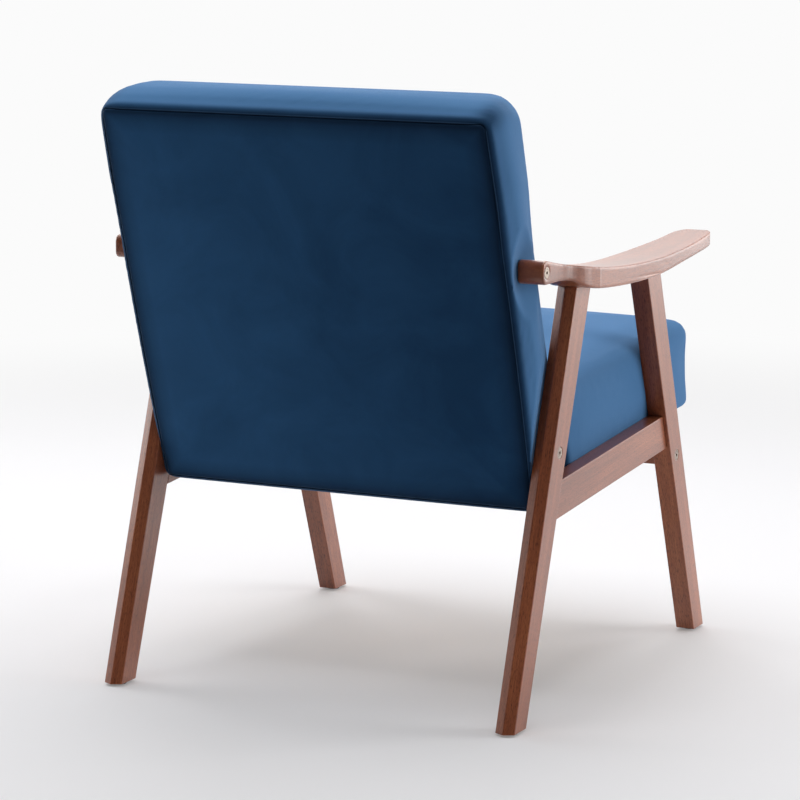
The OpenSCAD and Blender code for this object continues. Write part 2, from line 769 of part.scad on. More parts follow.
module armrest_left() { color(wood) place() armrest(); }
module armrest_right() { color(wood) place() mirror([1, 0, 0]) armrest(); }
module front_leg_left() { color(wood) place() leg(-1); }
module front_leg_right() { color(wood) place() mirror([1, 0, 0]) leg(-1); }
module rear_leg_left() { color(wood) place() leg(1); }
module rear_leg_right() { color(wood) place() mirror([1, 0, 0]) leg(1); }
module side_rail_left() { color(wood) place() side_rail(); }
module side_rail_right() { color(wood) place() mirror([1, 0, 0]) side_rail(); }
module front_cross_rail() { color(wood) place() front_cross(); }
module rear_cross_rail() { color(wood) place() rear_cross(); }

module corner_blocks() {
    color(pale_wood) place() difference() {
        seat_frame() both_sides() for (f = block_faces) block(f);
        seat_frame() for (p = screw_spots) translate([p[0], p[1], 0]) screw_bore();
    }
}

module seat_board() { color(pale_wood) place() seat_frame() board_form(); }
module seat_cushion() { color(velvet) place() seat_frame() seat_form(); }

module seat_screws() {
    color("silver") place() seat_frame() for (p = screw_spots) translate([p[0], p[1], 0]) seat_screw();
}

module back_cushion() {
    color(velvet) place() difference() {
        back_frame() difference() {
            back_form();
            panel_seat();
            back_pocket();
        }
        both_sides() for (b = [arm_bolt, rear_bolt])
            translate([stile_x - 1, b[0], b[1]]) rotate([0, 90, 0])
                cylinder(h = side_pad + 3, d = bolt_d + 2 * soft_gap);
    }
}

module back_panel() { color(velvet) place() back_frame() panel_form(); }
module back_stile_left() { color(pale_wood) place() stile(); }
module back_stile_right() { color(pale_wood) place() mirror([1, 0, 0]) stile(); }
module back_top_rail() { color(pale_wood) place() member(0); }
module back_arm_rail() { color(pale_wood) place() member(1); }
module back_bottom_rail() { color(pale_wood) place() member(2); }
module back_webbing() { color("dimgray") place() back_frame() webbing(); }

module arm_bolts() {
    color("darkgray") place() both_sides() bolt(arm_bolt, arm_neck_x, stile_x);
}

module leg_bolts() {
    color("darkgray") place() both_sides() {
        bolt(rear_bolt, half_w, stile_x);
        bolt(front_bolt, half_w, inner_x);
    }
}

module insert_nuts() {
    color("goldenrod") place() both_sides() {
        for (b = [arm_bolt, rear_bolt]) insert_nut(b, stile_x);
        insert_nut(front_bolt, inner_x);
    }
}

module rail_dowels() {
    color(pale_wood) place() both_sides() for (turn = [-1, 1], s = rail_dowel_spots)
        rail_dowel_place(turn, s) cylinder(h = dowel_l, d = dowel_d, center = true);
}

module cross_dowels() {
    color(pale_wood) place() both_sides() for (s = cross_dowel_spots)
        cross_dowel_place(s) cylinder(h = cross_dowel_l, d = dowel_d, center = true);
}

module arm_dowels() {
    color(pale_wood) place() both_sides() for (turn = [-1, 1], p = arm_dowel_spots(turn)) arm_dowel(p);
}

module back_dowels() {
    color(pale_wood) place() back_frame() both_sides() back_dowel_places()
        cylinder(h = dowel_l, d = dowel_d, center = true);
}

module foot_glides() {
    color("dimgray") place() for (turn = [-1, 1], side = [-1, 1])
        translate([side * leg_x, turn * glide_y, 0]) foot_glide();
}

armrest_left();
armrest_right();
front_leg_left();
front_leg_right();
rear_leg_left();
rear_leg_right();
side_rail_left();
side_rail_right();
front_cross_rail();
rear_cross_rail();
corner_blocks();
seat_board();
seat_cushion();
seat_screws();
back_cushion();
back_panel();
back_stile_left();
back_stile_right();
back_top_rail();
back_arm_rail();
back_bottom_rail();
back_webbing();
arm_bolts();
leg_bolts();
insert_nuts();
rail_dowels();
cross_dowels();
arm_dowels();
back_dowels();
foot_glides();
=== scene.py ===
# %% [markdown]
# # An open-arm lounge chair in blue velvet and stained beech
#
# The chair arrives as solids: legs, rails, armrests, cushions, timbers and fastenings.
# This lesson dresses them for a studio picture from behind and a little above.
# The wooden solids keep their shape and get eased edges and a stain. The upholstery is
# made again as soft forms, because foam under cloth never has the plain faces of a solid.

# %% Load the chair
import bpy
import bmesh
import math
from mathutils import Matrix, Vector
from mathutils.kdtree import KDTree


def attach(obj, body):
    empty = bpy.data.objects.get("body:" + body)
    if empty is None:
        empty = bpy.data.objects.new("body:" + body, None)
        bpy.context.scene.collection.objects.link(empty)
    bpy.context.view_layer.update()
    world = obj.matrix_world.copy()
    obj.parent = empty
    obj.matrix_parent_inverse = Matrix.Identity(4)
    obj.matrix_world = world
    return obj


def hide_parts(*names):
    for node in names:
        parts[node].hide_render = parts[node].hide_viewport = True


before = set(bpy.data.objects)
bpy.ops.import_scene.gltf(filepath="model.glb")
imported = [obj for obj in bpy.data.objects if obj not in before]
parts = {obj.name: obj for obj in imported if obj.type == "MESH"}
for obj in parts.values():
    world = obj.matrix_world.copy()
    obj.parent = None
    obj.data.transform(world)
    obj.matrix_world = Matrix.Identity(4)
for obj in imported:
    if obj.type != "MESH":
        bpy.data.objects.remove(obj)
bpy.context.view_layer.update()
mm = 0.001

print("parts:", len(parts))

# %% [markdown]
# ## The camera
#
# The picture was taken with a long lens: the chair's parallel edges hardly close in. A
# lens of about 150 mm, some 4.6 m away and 1.14 m up, gives the same lines. A short
# lens close by would make the near leg far too tall.

# %% Camera
camera_spot = (-1.9672, 4.04978, 1.1448)
turn_round = math.radians(206.08)
look_down = math.radians(9.896)
quarter_turn = math.radians(90)

lens = bpy.data.cameras.new("long lens")
lens.sensor_width = 36
lens.lens = 150.98
lens.clip_end = 100
camera = bpy.data.objects.new("camera", lens)
camera.location = camera_spot
camera.rotation_euler = (quarter_turn - look_down, 0, turn_round)
bpy.context.scene.collection.objects.link(camera)
bpy.context.scene.camera = camera
print("camera distance in m:", round(camera.location.length, 2))

# %% [markdown]
# ## Helpers for finishes
#
# Every finish below is a small net of nodes. Colours are written as they look on a
# screen, and the shader needs them linear, so one function turns them. Another adds a
# node with its settings and links, which keeps each finish short.

# %% Colour and node helpers
def paint(hex_code):
    """Linear colour of an sRGB hex code."""
    channels = [int(hex_code[i:i + 2], 16) / 255 for i in (1, 3, 5)]
    return tuple(c / 12.92 if c <= 0.04045 else ((c + 0.055) / 1.055) ** 2.4
                 for c in channels) + (1.0,)


def add_node(tree, kind, settings=None, links=None, stops=None):
    """Adds a node, sets its values by name, links its inputs and lays a ramp's colours."""
    node = tree.nodes.new(kind)
    for name, value in (settings or {}).items():
        if isinstance(name, str) and hasattr(node, name):
            setattr(node, name, value)
        else:
            node.inputs[name].default_value = value
    for name, source in (links or {}).items():
        tree.links.new(source, node.inputs[name])
    if stops:
        marks = node.color_ramp.elements
        marks[0].position, marks[0].color = stops[0]
        marks[-1].position, marks[-1].color = stops[-1]
        for place, colour in stops[1:-1]:
            marks.new(place).color = colour
    return node


def new_material(name):
    """A material without nodes, and its tree."""
    material = bpy.data.materials.new(name)
    material.use_nodes = True
    material.node_tree.nodes.clear()
    return material, material.node_tree


def give_surface(material, shader):
    """Makes a shader the material's surface."""
    add_node(material.node_tree, "ShaderNodeOutputMaterial", None, {"Surface": shader.outputs[0]})
    return material


print("mid grey #808080 in linear light:", round(paint("#808080")[0], 3))

# %% [markdown]
# ## The studio
#
# The chair stands on a pale paper floor that runs up into white. Only a floor is
# needed: near the chair it is shaded as paper with a painted glow over it, so the legs
# keep their soft shadows, but paler, and further out it fades to plain white for the
# camera and for reflections. A wall would add a second shadow that the picture doesn't have.

# %% Floor paper
# Metres from the middle over which paper turns to white, and the least share of white: a painted
# glow that lightens the floor's shadows near the chair
paper_end, white_start = 0.9, 3.0
least_glow = 0.2


def white_for(tree, depth, near, far):
    """1 for camera and glass rays, and for gloss where depth runs from near to far."""
    rays = add_node(tree, "ShaderNodeLightPath")
    backdrop = add_node(tree, "ShaderNodeMapRange", {"From Min": near, "From Max": far},
                        {"Value": depth})
    in_gloss = add_node(tree, "ShaderNodeMath", {"operation": "MULTIPLY"},
                        {0: backdrop.outputs["Result"], 1: rays.outputs["Is Glossy Ray"]})
    straight = add_node(tree, "ShaderNodeMath", {"operation": "MAXIMUM"},
                        {0: rays.outputs["Is Camera Ray"], 1: rays.outputs["Is Transmission Ray"]})
    both = add_node(tree, "ShaderNodeMath", {"operation": "MAXIMUM"},
                    {0: straight.outputs[0], 1: in_gloss.outputs[0]})
    return both.outputs[0]


def paper_floor():
    """Matt studio paper with a painted glow that lightens its soft shadows; it fades to plain
    white further out.
    """
    material, tree = new_material("studio paper")
    place = add_node(tree, "ShaderNodeTexCoord")
    sides = add_node(tree, "ShaderNodeSeparateXYZ", None, {"Vector": place.outputs["Object"]})
    reach = add_node(tree, "ShaderNodeVectorMath", {"operation": "LENGTH"},
                     {0: place.outputs["Object"]})
    fade = add_node(tree, "ShaderNodeMapRange",
                    {"interpolation_type": "SMOOTHSTEP", "From Min": paper_end,
                     "From Max": white_start}, {"Value": reach.outputs["Value"]})
    # Painted glow: near the chair the camera sees a fifth of white glow over the paper
    lift = add_node(tree, "ShaderNodeMath", {"operation": "MAXIMUM", 1: least_glow},
                    {0: fade.outputs["Result"]})
    seen_white = white_for(tree, sides.outputs["Y"], near=1.0, far=-0.5)
    white = add_node(tree, "ShaderNodeMath", {"operation": "MULTIPLY"},
                     {0: lift.outputs[0], 1: seen_white})
    paper = add_node(tree, "ShaderNodeBsdfDiffuse", {"Color": paint("#e9e8ea")})
    glow = add_node(tree, "ShaderNodeEmission", {"Color": paint("#fbfbfb"), "Strength": 1.0})
    mix = add_node(tree, "ShaderNodeMixShader", None,
                   {0: white.outputs[0], 1: paper.outputs[0], 2: glow.outputs[0]})
    return give_surface(material, mix)


print("the floor is paper within", paper_end, "m and white from", white_start, "m")


# %% Floor
def add_piece(name, bm, material):
    """Turns a bmesh into a piece with one material."""
    mesh = bpy.data.meshes.new(name)
    bm.to_mesh(mesh)
    bm.free()
    piece = bpy.data.objects.new(name, mesh)
    piece.data.materials.append(material)
    bpy.context.scene.collection.objects.link(piece)
    return piece


bm = bmesh.new()
bmesh.ops.create_circle(bm, cap_ends=True, segments=64, radius=14)
floor = add_piece("paper_floor", bm, paper_floor())
print("floor width in m:", round(floor.dimensions.x, 1))

# %% [markdown]
# ## The light
#
# Five large square lamps make the soft light of a studio. One is overhead, and the others
# stand beside the chair or beyond it, as the camera sees it: so the seat, the armrests and
# the edges catch the light, and the back's rear side stays deep. The surroundings give
# only a trace of light, but look white to the camera and in gloss.

# %% White surroundings
trace_of_light = 0.06

world = bpy.data.worlds.new("white studio")
world.use_nodes = True
bpy.context.scene.world = world
tree = world.node_tree
tree.nodes.clear()
sky = add_node(tree, "ShaderNodeTexCoord")
sides = add_node(tree, "ShaderNodeSeparateXYZ", None, {"Vector": sky.outputs["Generated"]})
seen_white = white_for(tree, sides.outputs["Y"], near=0.45, far=-0.1)
room = add_node(tree, "ShaderNodeBackground",
                {"Color": paint("#f4f6fb"), "Strength": trace_of_light})
white = add_node(tree, "ShaderNodeBackground", {"Color": paint("#fbfbfb"), "Strength": 1.0})
mix = add_node(tree, "ShaderNodeMixShader", None,
               {0: seen_white, 1: room.outputs[0], 2: white.outputs[0]})
add_node(tree, "ShaderNodeOutputWorld", None, {"Surface": mix.outputs[0]})
print("the surroundings light the chair at", trace_of_light, "of white")

# %% Lamps
middle = Vector((0, 0, 0.4))
# Each lamp has its spot and its side in metres, and its power in watts
lamps = {
    "overhead": ((0, 0.2, 3.0), 2.4, 61),
    "front": ((0.7, -1.6, 2.4), 2.0, 33),
    "right": ((-3.0, -1.4, 1.0), 1.8, 57),
    "left": ((3.0, -0.3, 1.4), 1.8, 41),
    "far": ((-1.6, -3.4, 0.9), 1.6, 20),
}
for name, (spot, side, power) in lamps.items():
    data = bpy.data.lights.new(name, "AREA")
    data.size = side
    data.energy = power
    lamp = bpy.data.objects.new(name, data)
    lamp.location = spot
    aim = middle - Vector(spot)
    lamp.rotation_euler = aim.to_track_quat("-Z", "Y").to_euler()
    bpy.context.scene.collection.objects.link(lamp)
    print(name, "lamp:", power, "W,", round(aim.length, 1), "m from the chair")
bpy.context.scene.view_settings.view_transform = "Standard"

# %% [markdown]
# ## The wood
#
# The frame is beech under a walnut stain and a satin lacquer. Beech has a close, straight
# grain: long faint streaks along each piece, short dark flecks, and no bold figure.
# Solid Object coordinates are turned so that one axis runs along the piece, then
# stretched: the pattern then looks sawn from one plank, and end grain comes out right
# by itself. A flat image wrapped round each leg would smear on its ends.

# %% Patterns that run along a piece
# The size of each pattern in mm, across both ways and along: 4 bands or 65 streaks lie in
# 100 mm, and 22 flecks in 10 mm
beech_bands = (100 / 4, 100 / 4, 400)
beech_streaks = (100 / 65, 100 / 65, 62.5)
beech_flecks = (10 / 22, 10 / 22, 6.25)


def turned_place(tree, turn, shift=(0, 0, 0)):
    """Object coordinates, turned so that Z runs along the piece, and shifted by metres."""
    place = add_node(tree, "ShaderNodeTexCoord")
    plank = add_node(tree, "ShaderNodeMapping", {"Rotation": turn, "Location": shift},
                     {"Vector": place.outputs["Object"]})
    return plank.outputs["Vector"]


def stretched_noise(tree, place, grain, settings):
    """Noise with grains of the given three lengths in mm."""
    scale = tuple(1 / (length * mm) for length in grain)
    stretched = add_node(tree, "ShaderNodeVectorMath", {"operation": "MULTIPLY", 1: scale},
                         {0: place})
    return add_node(tree, "ShaderNodeTexNoise", {"Scale": 1.0, **settings},
                    {"Vector": stretched.outputs[0]})


print("beech streaks to 100 mm:", round(100 / beech_streaks[0]))


# %% Stained beech
def stained_beech(name, turn, shift):
    """Walnut-stained, lacquered beech: warm red-brown with a faint grain and a soft gleam."""
    material, tree = new_material(name)
    plank = turned_place(tree, turn, shift)

    # Broad bands where the stain took more or less, grain streaks, and flecks: dark
    # dashes under half a millimetre wide
    bands = stretched_noise(tree, plank, beech_bands,
                            {"Detail": 3.0, "Roughness": 0.55, "Distortion": 0.4})
    streaks = stretched_noise(tree, plank, beech_streaks,
                              {"Detail": 4.0, "Roughness": 0.6, "Distortion": 0.2})
    flecks = stretched_noise(tree, plank, beech_flecks, {"Detail": 1.0})
    fleck = add_node(tree, "ShaderNodeMapRange", {"From Min": 0.56, "From Max": 0.68},
                     {"Value": flecks.outputs["Fac"]})

    # Dark, mid and light stain, with the streaks laid over the bands
    blend = add_node(tree, "ShaderNodeMix", {"data_type": "FLOAT", "Factor": 0.45},
                     {2: bands.outputs["Fac"], 3: streaks.outputs["Fac"]})
    stain = add_node(tree, "ShaderNodeValToRGB", None, {"Fac": blend.outputs[0]},
                     [(0.34, paint("#7a3f25")), (0.5, paint("#985435")), (0.66, paint("#b26a43"))])
    colour = add_node(tree, "ShaderNodeMix", {"data_type": "RGBA", "blend_type": "MULTIPLY",
                                              7: paint("#8a6a60")},
                      {0: fleck.outputs["Result"], 6: stain.outputs["Color"]})

    # The streaks vary the gloss and stand up a little, and the flecks are pores in them
    gloss = add_node(tree, "ShaderNodeMapRange", {"To Min": 0.34, "To Max": 0.46},
                     {"Value": streaks.outputs["Fac"]})
    grain = add_node(tree, "ShaderNodeMath", {"operation": "MULTIPLY_ADD", 1: -0.5},
                     {0: fleck.outputs["Result"], 2: streaks.outputs["Fac"]})
    relief = add_node(tree, "ShaderNodeBump", {"Strength": 0.12, "Distance": 0.6 * mm},
                      {"Height": grain.outputs[0]})
    surface = add_node(tree, "ShaderNodeBsdfPrincipled",
                       {"IOR": 1.5, "Specular IOR Level": 0.2,
                        "Coat Weight": 1.0, "Coat Roughness": 0.28},
                       {"Base Color": colour.outputs[2], "Roughness": gloss.outputs["Result"],
                        "Normal": relief.outputs["Normal"]})
    return give_surface(material, surface)


print("a beech fleck is", round(beech_flecks[0], 2), "mm wide and", beech_flecks[2], "mm long")

# %% Stain the frame
leg_rake = math.radians(19.5)
rail_rise = math.radians(4.3)


def dress(names, material):
    """Gives CAD parts a finish through their own material slots."""
    for name in names:
        for slot in parts[name].material_slots:
            slot.link = "OBJECT"
            slot.material = material
    print(material.name, "on", ", ".join(names))


# Every leg is cut from another place of the plank, in metres
legs_from = {"rear left": (-leg_rake, (0.3, 0, 0)), "rear right": (-leg_rake, (0.7, 0, 2)),
             "front left": (leg_rake, (1.3, 0, 5)), "front right": (leg_rake, (1.9, 0, 8))}
for place, (rake, shift) in legs_from.items():
    end, side = place.split()
    dress([end + "_leg_" + side],
          stained_beech("stained beech, " + place + " leg", (rake, 0, 0), shift))
dress(["side_rail_left", "side_rail_right"],
      stained_beech("stained beech, side rails", (rail_rise - quarter_turn, 0, 0), (0, 3, 0)))
dress(["armrest_left", "armrest_right"],
      stained_beech("stained beech, armrests", (-quarter_turn, 0, 0), (0, 7, 0)))
dress(["front_cross_rail", "rear_cross_rail"],
      stained_beech("stained beech, cross rails", (0, quarter_turn, 0), (0, 4, 1)))

# %% [markdown]
# ## Hidden timber and plywood
#
# Under the velvet the back has a frame of pale softwood, held by dowels, and the seat has
# a plywood board on glued blocks. The board's edge shows from the front, and the rest
# from below or when the chair is taken apart. Timber needs one plain grain. Plywood is
# glued from thin plies whose grain crosses, so its edge shows stripes: a wave across the
# board's thickness draws them.

# %% Pale timber
back_lean = math.radians(17.1)
# 26 rings in 100 mm
growth_rings = (100 / 26, 100 / 26, 1000 / 6)


def pale_timber(name, turn, dark, light):
    """Unstained timber: pale, dry and matt, with growth rings along the turned Z axis."""
    material, tree = new_material(name)
    rings = stretched_noise(tree, turned_place(tree, turn), growth_rings,
                            {"Detail": 4.0, "Distortion": 0.6})
    tone = add_node(tree, "ShaderNodeValToRGB", None, {"Fac": rings.outputs["Fac"]},
                    [(0.35, paint(dark)), (0.65, paint(light))])
    relief = add_node(tree, "ShaderNodeBump", {"Strength": 0.2, "Distance": 0.4 * mm},
                      {"Height": rings.outputs["Fac"]})
    surface = add_node(tree, "ShaderNodeBsdfPrincipled", {"Roughness": 0.7},
                       {"Base Color": tone.outputs["Color"], "Normal": relief.outputs["Normal"]})
    return give_surface(material, surface)


dress(["back_stile_left", "back_stile_right"],
      pale_timber("softwood stiles", (-back_lean, 0, 0), "#b98d5c", "#d9b785"))
dress(["back_top_rail", "back_arm_rail", "back_bottom_rail", "corner_blocks"],
      pale_timber("softwood rails", (0, quarter_turn, 0), "#b98d5c", "#d9b785"))
dress(["rail_dowels", "cross_dowels", "arm_dowels", "back_dowels"],
      pale_timber("beech dowels", (0, quarter_turn, 0), "#c39a6c", "#dfbf93"))

# %% Plywood
seat_tilt = math.radians(2.9)
ply = 1.5 * mm
# Along, across and through the board, in mm
face_grain = (1000 / 9, 100 / 30, 50)


def stripes_every(distance):
    """Scale for a wave pattern, which repeats every 2 pi / 20 at scale 1."""
    return 2 * math.pi / 20 / distance


def plywood():
    """Birch plywood: pale, matt faces, and plies that show as stripes on its edges."""
    material, tree = new_material("birch plywood")
    board = turned_place(tree, (seat_tilt, 0, 0))
    plies = add_node(tree, "ShaderNodeTexWave",
                     {"wave_type": "BANDS", "bands_direction": "Z",
                      "Scale": stripes_every(2 * ply), "Distortion": 0.4, "Detail": 1.0},
                     {"Vector": board})
    grain = stretched_noise(tree, board, face_grain, {"Detail": 4.0})
    both = add_node(tree, "ShaderNodeMix", {"data_type": "FLOAT", "Factor": 0.5},
                    {2: plies.outputs["Fac"], 3: grain.outputs["Fac"]})
    tone = add_node(tree, "ShaderNodeValToRGB", None, {"Fac": both.outputs[0]},
                    [(0.0, paint("#a07a4e")), (1.0, paint("#dcbf93"))])
    surface = add_node(tree, "ShaderNodeBsdfPrincipled", {"Roughness": 0.65},
                       {"Base Color": tone.outputs["Color"]})
    return give_surface(material, surface)


dress(["seat_board"], plywood())

# %% [markdown]
# ## Webbing, metal and nylon
#
# Elastic webbing is a woven band: two waves, across and along it, multiplied into each
# other leave the small squares of a plain weave. The bolt heads have an old-bronze finish,
# and the screws and insert nuts are zinc plated. Plating is never quite even, and that
# mottle in colour and gloss is what the eye takes for metal. The feet stand on grey nylon.

# %% Webbing
weave = 3.93 * mm


def elastic_webbing():
    """Black elastic band: dull, ribbed both ways by its weave, and paler on the ribs."""
    material, tree = new_material("elastic webbing")
    band = turned_place(tree, (-back_lean, 0, 0))
    across, along = [
        add_node(tree, "ShaderNodeTexWave",
                 {"wave_type": "BANDS", "bands_direction": axis, "Scale": stripes_every(weave)},
                 {"Vector": band}) for axis in "XZ"]
    ribs = add_node(tree, "ShaderNodeMath", {"operation": "MULTIPLY"},
                    {0: across.outputs["Fac"], 1: along.outputs["Fac"]})
    tone = add_node(tree, "ShaderNodeValToRGB", None, {"Fac": ribs.outputs[0]},
                    [(0.0, paint("#15161a")), (1.0, paint("#4a4c52"))])
    relief = add_node(tree, "ShaderNodeBump", {"Strength": 0.5, "Distance": 0.5 * mm},
                      {"Height": ribs.outputs[0]})
    surface = add_node(tree, "ShaderNodeBsdfPrincipled", {"Roughness": 0.8},
                       {"Base Color": tone.outputs["Color"], "Normal": relief.outputs["Normal"]})
    return give_surface(material, surface)


dress(["back_webbing"], elastic_webbing())

# %% Metal and nylon
# 35 marks of the plating's mottle in 100 mm, and 9 grains of the nylon in 10 mm
mottle_size = 100 / 35 * mm
nylon_grain = 10 / 9 * mm


def plated_metal(name, deep, bright, low_gloss, high_gloss):
    """Steel with a mottled plating: a dull gleam that varies over a few millimetres."""
    material, tree = new_material(name)
    place = add_node(tree, "ShaderNodeTexCoord")
    mottle = add_node(tree, "ShaderNodeTexNoise", {"Scale": 1 / mottle_size, "Detail": 4.0},
                      {"Vector": place.outputs["Object"]})
    tone = add_node(tree, "ShaderNodeValToRGB", None, {"Fac": mottle.outputs["Fac"]},
                    [(0.35, paint(deep)), (0.68, paint(bright))])
    gloss = add_node(tree, "ShaderNodeMapRange", {"To Min": low_gloss, "To Max": high_gloss},
                     {"Value": mottle.outputs["Fac"]})
    surface = add_node(tree, "ShaderNodeBsdfPrincipled", {"Metallic": 1.0},
                       {"Base Color": tone.outputs["Color"], "Roughness": gloss.outputs["Result"]})
    return give_surface(material, surface)


def grey_nylon():
    """Moulded nylon: dark grey, half matt, with the faint grain of its mould."""
    material, tree = new_material("grey nylon")
    place = add_node(tree, "ShaderNodeTexCoord")
    grain = add_node(tree, "ShaderNodeTexNoise", {"Scale": 1 / nylon_grain, "Detail": 3.0},
                     {"Vector": place.outputs["Object"]})
    tone = add_node(tree, "ShaderNodeValToRGB", None, {"Fac": grain.outputs["Fac"]},
                    [(0.0, paint("#2b2a2a")), (1.0, paint("#4b4948"))])
    relief = add_node(tree, "ShaderNodeBump", {"Strength": 0.3, "Distance": 0.2 * mm},
                      {"Height": grain.outputs["Fac"]})
    surface = add_node(tree, "ShaderNodeBsdfPrincipled", {"Roughness": 0.5},
                       {"Base Color": tone.outputs["Color"], "Normal": relief.outputs["Normal"]})
    return give_surface(material, surface)


dress(["arm_bolts", "leg_bolts"],
      plated_metal("old bronze bolts", "#766a62", "#b8a99d", 0.28, 0.45))
dress(["seat_screws", "insert_nuts"],
      plated_metal("zinc plate", "#9a9a93", "#cfcdbf", 0.25, 0.4))
dress(["foot_glides"], grey_nylon())

# %% [markdown]
# ## Eased edges
#
# A plane leaves no knife edge on furniture: each arris is rubbed down to a small round
# that catches a line of light. The parts come as loose triangles, so they are first
# welded, flat faces are cleared of their inner edges, and a bevel takes the rest.
# The shading is smooth over those rounds, and stays sharp across steeper edges.
# These are modifiers, so the parts stay as they were built.

# %% Soft shading
shading_limit = 32


def smooth_by_angle(limit):
    """Geometry nodes that shade faces smooth across edges flatter than the limit."""
    tree = bpy.data.node_groups.new("smooth by angle", "GeometryNodeTree")
    tree.interface.new_socket("Geometry", in_out="INPUT", socket_type="NodeSocketGeometry")
    tree.interface.new_socket("Geometry", in_out="OUTPUT", socket_type="NodeSocketGeometry")
    mesh = add_node(tree, "NodeGroupInput")
    faces = add_node(tree, "GeometryNodeSetShadeSmooth", {"domain": "FACE"},
                     {"Geometry": mesh.outputs[0]})
    angle = add_node(tree, "GeometryNodeInputMeshEdgeAngle")
    steep = add_node(tree, "FunctionNodeCompare", {"operation": "GREATER_THAN", 1: limit},
                     {0: angle.outputs["Unsigned Angle"]})
    edges = add_node(tree, "GeometryNodeSetShadeSmooth", {"domain": "EDGE", "Shade Smooth": False},
                     {"Geometry": faces.outputs[0], "Selection": steep.outputs[0]})
    add_node(tree, "NodeGroupOutput", None, {0: edges.outputs[0]})
    return tree


def shade_softly(piece):
    """Shades a piece smooth, but for its steep edges."""
    shading = piece.modifiers.new("soft shading", "NODES")
    shading.node_group = soft_shading


soft_shading = smooth_by_angle(math.radians(shading_limit))
print("edges stay sharp above", shading_limit, "degrees")


# %% Weld and ease
def round_edges(part, width, sharp):
    """Welds a part, clears its flats and rounds by width its edges above sharp degrees."""
    weld = part.modifiers.new("weld", "WELD")
    weld.merge_threshold = 0.01 * mm
    clear = part.modifiers.new("clear flats", "DECIMATE")
    clear.decimate_type = "DISSOLVE"
    clear.angle_limit = math.radians(0.4)
    bevel = part.modifiers.new("eased edge", "BEVEL")
    bevel.width = width
    bevel.segments = 3
    bevel.limit_method = "ANGLE"
    bevel.angle_limit = math.radians(sharp)
    # Clamping would shrink every round to suit the smallest edge of the part
    bevel.use_clamp_overlap = False


def ease(names, width):
    """Rounds the edges of straight parts and keeps their flats flat in the shading."""
    for name in names:
        round_edges(parts[name], width, sharp=28)
        shade_softly(parts[name])
        even = parts[name].modifiers.new("even normals", "WEIGHTED_NORMAL")
        even.keep_sharp = True
    print("edges eased by", round(width / mm, 1), "mm on", ", ".join(names))


ease(["front_leg_left", "front_leg_right", "rear_leg_left", "rear_leg_right"], 1.2 * mm)
ease(["side_rail_left", "side_rail_right"], 1.2 * mm)
ease(["front_cross_rail", "rear_cross_rail"], 1.0 * mm)

# %% [markdown]
# ## Armrests rubbed down by hand
#
# The armrests are shaped pieces whose faces run into each other at slim angles, where a
# bevel leaves folds. A maker blends such faces with sandpaper. Here a fine net goes over
# the bevelled form and is smoothed, which does the same, and costs more faces only there.

# %% Rub down the armrests
def rub_down(names, width, net_size):
    """Rounds the edges of curved parts, then blends faces that meet at slim angles."""
    for name in names:
        round_edges(parts[name], width, sharp=40)
        net = parts[name].modifiers.new("fine net", "REMESH")
        net.mode = "VOXEL"
        net.voxel_size = net_size
        net.use_smooth_shade = True
        rub = parts[name].modifiers.new("rubbed down", "SMOOTH")
        rub.factor = 0.5
        rub.iterations = 4
    print("edges rubbed down by", round(width / mm, 1), "mm on", ", ".join(names))


rub_down(["armrest_left", "armrest_right"], 1.6 * mm, 1.25 * mm)

# %% [markdown]
# ## The velvet
#
# Velvet is a short upright pile. Seen straight on it swallows light and looks deep
# blue; where it turns away from the eye the fibre tips catch the light, which is what
# sheen does, and part of that sheen is also painted into its colour. Two things break up
# its colour: the pile lies a little differently from place to place, which leaves broad
# cloudy marks, and its tips make a fine speckle.
# Along a seam the pile is pressed apart, and shade is painted there too, so the cloth is
# darker: partly pressed pile, partly painted shade. Each vertex knows its distance from
# the seam, and the finish turns that into a dark line. A distance stays exact between
# vertices, where a painted mask would come out ragged.

# %% Nap and pile
# Cloudy marks, with smaller ones of about 16 mm inside them. Real pile tips are too fine
# to show, so their speckle is drawn coarser: 12 specks in 10 mm.
nap_size = 125 * mm
speck_size = 10 / 12 * mm


def pile_blue(tree, place, pile):
    """Colour of the pile before its seams: its nap marks, with painted light on its left side and
    a painted sheen.
    """
    nap = add_node(tree, "ShaderNodeTexNoise",
                   {"Scale": 1 / nap_size, "Detail": 4.0, "Roughness": 0.62, "Distortion": 0.8},
                   {"Vector": place})
    both = add_node(tree, "ShaderNodeMix", {"data_type": "FLOAT", "Factor": 0.25},
                    {2: nap.outputs["Fac"], 3: pile.outputs["Fac"]})
    # Painted light: the velvet is painted lighter towards its left side (plus X), as a lamp on the
    # left would light it
    sides = add_node(tree, "ShaderNodeSeparateXYZ", None, {"Vector": place})
    painted_side_light = add_node(tree, "ShaderNodeMath", {"operation": "MULTIPLY_ADD", 1: 0.65, 2: 0.2},
                         {0: sides.outputs["X"]})
    nap_and_side_light = add_node(tree, "ShaderNodeMath", {"operation": "MULTIPLY_ADD", 1: 0.6},
                       {0: both.outputs[0], 2: painted_side_light.outputs[0]})
    shade = add_node(tree, "ShaderNodeValToRGB", None, {"Fac": nap_and_side_light.outputs[0]},
                     [(0.3, paint("#1b3f62")), (0.7, paint("#2f5c88"))])

    # Painted sheen: the colour turns to a lighter blue where the cloth turns away from the eye
    turned = add_node(tree, "ShaderNodeLayerWeight", {"Blend": 0.5})
    painted_sheen_share = add_node(tree, "ShaderNodeMapRange",
                    {"interpolation_type": "SMOOTHSTEP", "From Min": 0.2, "From Max": 0.62},
                    {"Value": turned.outputs["Facing"]})
    lit = add_node(tree, "ShaderNodeMix", {"data_type": "RGBA", 7: paint("#47739f")},
                   {0: painted_sheen_share.outputs["Result"], 6: shade.outputs["Color"]})
    return lit.outputs[2]


print("nap marks:", round(nap_size / mm), "mm, specks:", round(speck_size / mm, 2), "mm")
